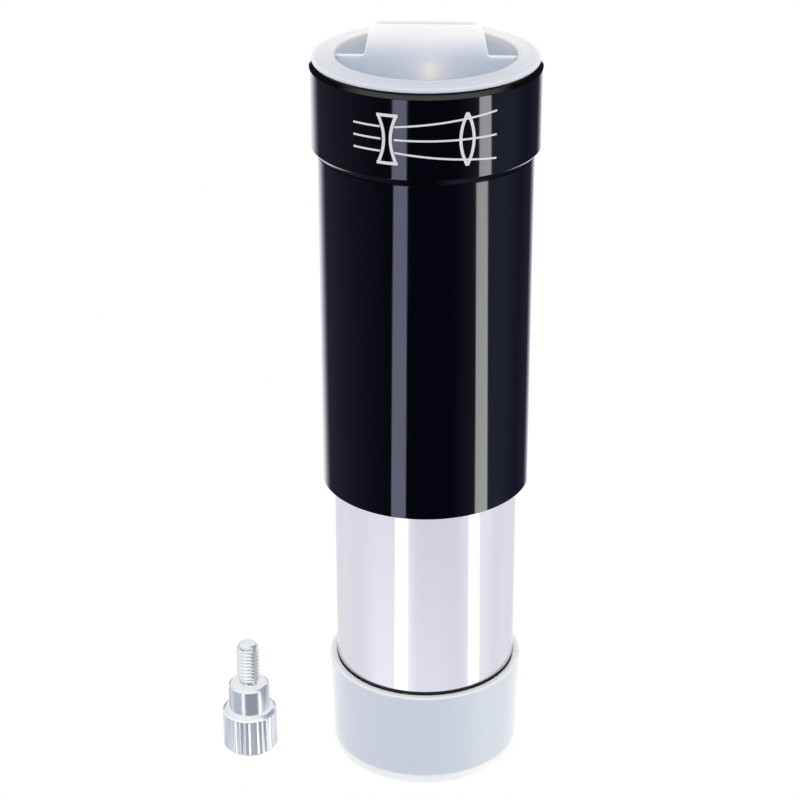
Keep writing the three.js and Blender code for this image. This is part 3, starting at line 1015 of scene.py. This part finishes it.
def screw_outline(head, tip):
    """Half of the screw's section, from the groove under its head up to its tip."""
    root, crest, pitch = M4["root"], M4["crest"], M4["pitch"]
    groove_in, groove_middle, groove_out = SCREW["foot_groove"]
    head_top, shoulder, shoulder_top = SCREW["head_height"], SCREW["shoulder"], SCREW["shoulder_top"]
    ledge = head_top + SCREW["head_chamfer"]
    groove_foot, groove_bend, groove_top = SCREW["shoulder_groove"]
    groove_radius = shoulder - SCREW["shoulder_groove_depth"]
    foot_chamfer, top_chamfer = SCREW["foot_chamfer"], SCREW["shoulder_chamfer"]
    turned_part = rounded(
        [
            (0, 0),
            (groove_in, 0),
            (groove_middle, SCREW["foot_groove_depth"]),
            (groove_out, 0.0, 0.1 * MM),
            (head - foot_chamfer, 0, 0.1 * MM),
            (head, foot_chamfer, 0.1 * MM),
            (head, SCREW["flute_foot"]),
            (head, SCREW["flute_top"]),
            (head, head_top, 0.1 * MM),
            (head - SCREW["head_chamfer"], ledge, 0.12 * MM),
            (shoulder + 0.12 * MM, ledge),
            (groove_radius, ledge + groove_foot),
            (groove_radius, ledge + groove_bend),
            (shoulder, ledge + groove_top),
            (shoulder, shoulder_top - top_chamfer, TURNED_EDGE),
            (shoulder - top_chamfer, shoulder_top, TURNED_EDGE),
            (root + 0.15 * MM, shoulder_top),
            (root, shoulder_top + 0.12 * MM),
        ]
    )
    levels = steps(SCREW["thread_foot"] - 0.1 * MM, SCREW["thread_top"], pitch / 12)
    return [*turned_part, *[(crest, level) for level in levels], *screw_tip(root, tip)]


def thumbscrew():
    """One piece: a fluted head, a shoulder, a neck and an M4 thread with a domed tip."""
    low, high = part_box("thumbscrew")
    x, y = (low.x + high.x) / 2, (low.y + high.y) / 2
    head = (high.x - low.x) / 2
    root, crest, pitch = M4["root"], M4["crest"], M4["pitch"]
    flute_foot, flute_top = SCREW["flute_foot"], SCREW["flute_top"]

    def shape(radius, height, angle):
        """Cuts the flutes, which run out towards the foot, and the thread, which starts over one pitch."""
        if radius == head and flute_foot <= height <= flute_top:
            rise = (height - flute_foot) / (flute_top - flute_foot)
            tooth = abs(2 * (angle * SCREW["teeth"] / (2 * pi) % 1) - 1)
            worn = min(1.0, 1.12 * tooth)
            return radius - SCREW["tooth_depth"] * rise * (1 - worn)
        if radius == crest:
            fade = min(max((height - SCREW["thread_foot"]) / pitch, 0.0), 1.0)
            return root + fade * (crest - root) * thread_rise(height, angle, pitch, 0.12)
        return radius

    outline = screw_outline(head, high.z)
    piece = turned("thumbscrew_turned", outline, 12 * SCREW["teeth"], shape)
    piece.data.transform(Matrix.Translation((x, y, 0)))
    material = bright_aluminium(x, y, head - SCREW["tooth_depth"], head)
    return finish_piece(piece, "thumbscrew", material)


# ------------------------ studio


# Upright light panels, by the azimuth of their middle from the front towards +X, in degrees. A panel that
# leans moves and widens with the steepness of the ray that meets it: 0 is level and 1 is straight down. A
# panel that climbs comes up to its full light between two steepnesses.
LEFT_STRIP = dict(centre=-19.2, lean=-23, half_width=5.6, widening=5.6)
RIGHT_STRIP = dict(centre=51.8, lean=28.2, half_width=4.3, widening=7.9)
STRIP_FOOT = 0.8  # the strips end at this steepness
STRIP_FADE = 0.04  # half of the steepness over which they end

# Each sky's brightness low down and overhead, and the sines of the angles between which it changes.
SKY = (0.85, 1.36, 0.2, 0.95)
SCREW_SKY = (1.15, 1.4, 0.2, 0.95)
BLACK_SKY = (0.04, 1.3, 0.66, 0.9)

FLOOR_HALF = 6.0
FLOOR_DROP = 0.02 * MM  # below the lower cap's foot
GLOW_POWER = 1.6e-4  # watts
GLOW_PLACE = (0.6 * MM, -3.2 * MM, SCREW_HOLE_Z + 4.7 * MM)
GLOW_RADIUS = 0.8 * MM
FILL_IRRADIANCE = 0.5  # watts on a square metre
FILL_HEIGHT = radians(15)  # above the horizon
FILL_SPREAD = radians(30)

CAMERA = dict(
    place=Vector((0, -359.49, 239.68)) * MM,
    pitch=radians(25.5125),
    yaw=radians(-0.701),
    roll=radians(-0.1835),
    focal_mm=103.915,
    sensor_mm=36,
)


def room(name, radius, receivers, level, panels, sky=SKY):
    """A ball of light round everything that only its receivers mirror: panels below, and a sky above."""
    bm = bmesh.new()
    bmesh.ops.create_uvsphere(bm, u_segments=64, v_segments=32, radius=radius)
    ball = mesh_object(name, bm)
    for kind in ("camera", "diffuse", "transmission", "volume_scatter", "shadow"):
        setattr(ball, "visible_" + kind, False)
    only_lights(ball, receivers)
    material = bpy.data.materials.new(name)
    material.use_nodes = True
    material.cycles.emission_sampling = "NONE"
    tree = material.node_tree
    tree.nodes.remove(tree.nodes["Principled BSDF"])
    nodes = Nodes(tree)
    x, y, z = nodes.axes(nodes.vector_math("NORMALIZE", first=nodes.place))
    azimuth = nodes.math("ARCTAN2", x, nodes.math("MULTIPLY", y, -1.0))
    steepness = nodes.math("MULTIPLY", z, -1.0)
    light = nodes.vector_math("SCALE", first=level, Scale=1.0)
    for panel in panels:
        mask = panel_mask(nodes, azimuth, steepness, panel)
        glow = nodes.vector_math("SCALE", first=panel["colour"], Scale=mask)
        light = nodes.vector_math("ADD", first=light, second=glow)
    below = nodes.remap(steepness, 0.0, 1.0, -0.06, 0.03)
    above = nodes.math("MULTIPLY", nodes.math("SUBTRACT", 1.0, below), nodes.remap(z, *sky))
    floor_light = nodes.vector_math("SCALE", first=light, Scale=below)
    sky_light = nodes.vector_math("SCALE", first=(1.0, 1.0, 1.0), Scale=above)
    emission = tree.nodes.new("ShaderNodeEmission")
    nodes.link(nodes.vector_math("ADD", first=floor_light, second=sky_light), emission.inputs["Color"])
    both = tree.nodes.new("ShaderNodeAddShader")
    nodes.link(emission.outputs[0], both.inputs[0])
    nodes.link(tree.nodes.new("ShaderNodeBsdfTransparent").outputs[0], both.inputs[1])
    nodes.link(both.outputs[0], tree.nodes["Material Output"].inputs["Surface"])
    ball.data.materials.append(material)


def panel_mask(nodes, azimuth, steepness, panel):
    """1 on a panel and 0 away from it."""
    lean, widening = panel.get("lean", 0), panel.get("widening", 0)
    middle = nodes.math("MULTIPLY_ADD", steepness, radians(lean), radians(panel["centre"]))
    half = nodes.math("MULTIPLY_ADD", steepness, radians(widening), radians(panel["half_width"]))
    away = nodes.math("ABSOLUTE", nodes.math("WRAP", nodes.math("SUBTRACT", azimuth, middle), pi, -pi))
    outside = nodes.math("SUBTRACT", away, half)
    edge = radians(panel["softness"] / 2)
    mask = nodes.remap(outside, 1.0, 0.0, -edge, edge)
    if lean:
        fade = nodes.remap(steepness, 1.0, 0.0, STRIP_FOOT - STRIP_FADE, STRIP_FOOT + STRIP_FADE)
        mask = nodes.math("MULTIPLY", mask, fade)
    if "climb" in panel:
        mask = nodes.math("MULTIPLY", mask, nodes.remap(steepness, 0.0, 1.0, *panel["climb"]))
    return mask


def world():
    """A white dome, brightest overhead, that lights the pieces. The camera sees plain white."""
    studio_world = bpy.data.worlds.new("studio")
    bpy.context.scene.world = studio_world
    studio_world.use_nodes = True
    studio_world.cycles.sampling_method = "NONE"
    studio_world.cycles_visibility.glossy = False
    tree = studio_world.node_tree
    nodes = Nodes(tree)
    height = nodes.axes(tree.nodes.new("ShaderNodeTexCoord").outputs["Generated"])[2]
    above = nodes.remap(height, 0.0, 1.0, -0.03, 0.06)
    dome = nodes.math("MULTIPLY", nodes.remap(height, *SKY), above)
    seen = tree.nodes.new("ShaderNodeLightPath").outputs["Is Camera Ray"]
    nodes.link(nodes.math("MAXIMUM", dome, seen), tree.nodes["Background"].inputs["Strength"])
    tree.nodes["Background"].inputs["Color"].default_value = (1, 1, 1, 1)


def floor_plane():
    """A white floor that lights the pieces from below. Glossy pieces mirror their room instead of it."""
    bm = bmesh.new()
    bmesh.ops.create_grid(bm, x_segments=1, y_segments=1, size=FLOOR_HALF)
    bmesh.ops.translate(bm, verts=bm.verts, vec=(0, 0, -FLOOR_DROP))
    plane = mesh_object("floor", bm)
    plane.visible_glossy = False
    material = bpy.data.materials.new("floor_white")
    material.use_nodes = True
    material.cycles.emission_sampling = "NONE"
    principled = material.node_tree.nodes["Principled BSDF"]
    principled.inputs["Base Color"].default_value = (0, 0, 0, 1)
    principled.inputs["Specular IOR Level"].default_value = 0
    principled.inputs["Emission Color"].default_value = (1, 1, 1, 1)
    principled.inputs["Emission Strength"].default_value = 1.0
    plane.data.materials.append(material)


def strips(left, right, softness):
    """The two strips of light, each in its own colour."""
    return [
        dict(LEFT_STRIP, colour=left, softness=softness),
        dict(RIGHT_STRIP, colour=right, softness=softness),
    ]


def upper_cap_lights(upper_cap):
    """A fill light from the front, and the light that comes in at the screw's hole and glows in the web."""
    fill = bpy.data.lights.new("cap_fill", "SUN")
    fill.energy = FILL_IRRADIANCE
    fill.color = (1.0, 0.97, 0.9)
    fill.angle = FILL_SPREAD
    front_lamp = add_object("cap_fill", fill)
    front_lamp.rotation_euler.x = pi / 2 - FILL_HEIGHT
    glow = bpy.data.lights.new("hole_light", "POINT")
    glow.energy = GLOW_POWER
    glow.color = (1.0, 0.69, 0.3)
    glow.shadow_soft_size = GLOW_RADIUS
    hole_lamp = add_object("hole_light", glow)
    hole_lamp.location = GLOW_PLACE
    for lamp in (front_lamp, hole_lamp):
        only_lights(lamp, [upper_cap])


def only_lights(source, pieces):
    """Links a lamp, or a room's ball, to the pieces that it lights."""
    linked = bpy.data.collections.new(source.name + "_receivers")
    for piece in pieces:
        linked.objects.link(piece)
    source.light_linking.receiver_collection = linked


def studio(black_pieces, bright_pieces, screw, white_pieces):
    """One room for each kind of finish, because each was lit to look its best."""
    black_panels = [
        dict(centre=-105, half_width=45, softness=80, colour=(0.11, 0.11, 0.15)),
        dict(centre=72, half_width=28, softness=40, colour=(0.17, 0.2, 0.29)),
        dict(centre=110, half_width=45, softness=20, colour=(0.05, 0.05, 0.085)),
        dict(centre=185.25, half_width=33.25, softness=23, colour=(1.8, 1.8, 1.95)),
        *strips((2.6, 2.65, 3.8), (6.2, 6.4, 6.3), 1.6),
    ]
    bright_panels = [
        dict(centre=-50, half_width=25, softness=30, colour=(0.06, 0.06, 0.06)),
        dict(centre=72, half_width=20, softness=25, colour=(0.16, 0.16, 0.15)),
        dict(centre=15, half_width=30, softness=40, colour=(-0.12, -0.12, -0.12)),
        dict(centre=-20, half_width=60, softness=50, colour=(0.23, 0.23, 0.23), climb=(0.43, 0.56)),
        dict(centre=-21, half_width=3, softness=14, colour=(0.17, 0.17, 0.16)),
        dict(centre=180, half_width=35, softness=60, colour=(-0.3, -0.3, -0.32)),
        *strips((0.8, 0.8, 0.75), (0.8, 0.8, 0.75), 3),
    ]
    screw_panels = [
        dict(centre=-80, half_width=50, softness=30, colour=(0.24, 0.28, 0.32)),
        dict(centre=-120, half_width=20, softness=30, colour=(0.3, 0.3, 0.3)),
        dict(centre=110, half_width=50, softness=30, colour=(0.55, 0.56, 0.55)),
        *strips((1.05, 1.05, 1.05), (1.05, 1.05, 1.05), 3),
    ]
    white_panels = [
        dict(centre=75, half_width=25, softness=30, colour=(2.0, 2.1, 1.3)),
        dict(centre=180, half_width=60, softness=50, colour=(0.55, 0.5, 0.4)),
    ]
    room("black_room", 3.0, black_pieces, (0.02, 0.02, 0.05), black_panels, BLACK_SKY)
    room("bright_room", 3.1, bright_pieces, (1.22, 1.225, 1.26), bright_panels)
    room("screw_room", 3.2, [screw], (0.42, 0.44, 0.5), screw_panels, SCREW_SKY)
    room("white_room", 3.3, white_pieces, (1.0, 1.0, 1.0), white_panels)
    screw.visible_glossy = False
    world()
    floor_plane()


def camera():
    """The photo's camera, fitted to the outline. It is pitched down, then turned, then rolled."""
    pitch, yaw, roll = CAMERA["pitch"], CAMERA["yaw"], CAMERA["roll"]
    ahead = Vector((sin(yaw) * cos(pitch), cos(yaw) * cos(pitch), -sin(pitch)))
    level = ahead.cross(Vector((0, 0, 1))).normalized()
    raised = level.cross(ahead)
    right = cos(roll) * level + sin(roll) * raised
    up = cos(roll) * raised - sin(roll) * level
    data = bpy.data.cameras.new("camera")
    data.sensor_width = CAMERA["sensor_mm"]
    data.lens = CAMERA["focal_mm"]
    data.clip_start = 0.01
    holder = add_object("camera", data)
    holder.matrix_world = Matrix((right, up, -ahead)).transposed().to_4x4()
    holder.location = CAMERA["place"]
    bpy.context.scene.camera = holder


# ------------------------ everything


def build():
    """Every piece, the rooms that they mirror, the lamps and the camera."""
    black, matt, bright = black_anodised(), matt_black(), chrome()
    glass, white = coated_glass(), white_ink()
    cap_foot, cap_rim = heights("bottom_cap")
    cup = milky_cup(cap_foot + BOTTOM_CAP["floor"], cap_rim)
    plug = milky_plug(heights("eyepiece_collar")[1], heights("top_cap")[1])
    upper_cap = top_cap(plug)
    white_pieces = [
        upper_cap,
        bottom_cap(cup),
        plain_ring("pressure_ring", "_moulded", 0.12 * MM, nylon()),
        printed_diagram(white),
    ]
    black_pieces = [
        lens_cell(black, matt),
        retaining_ring(matt),
        plain_ring("lens_spacer", "_turned", 0.1 * MM, matt),
        *glass_elements(glass, matt),
        main_tube(black, matt),
        *[knife_baffle(node, matt) for node in ("barrel_baffle", "tube_baffle", "eyepiece_stop")],
        eyepiece_collar(black),
    ]
    studio(black_pieces, [nosepiece(bright, matt)], thumbscrew(), white_pieces)
    upper_cap_lights(upper_cap)
    camera()
    bpy.context.scene.view_settings.view_transform = "Standard"


build()
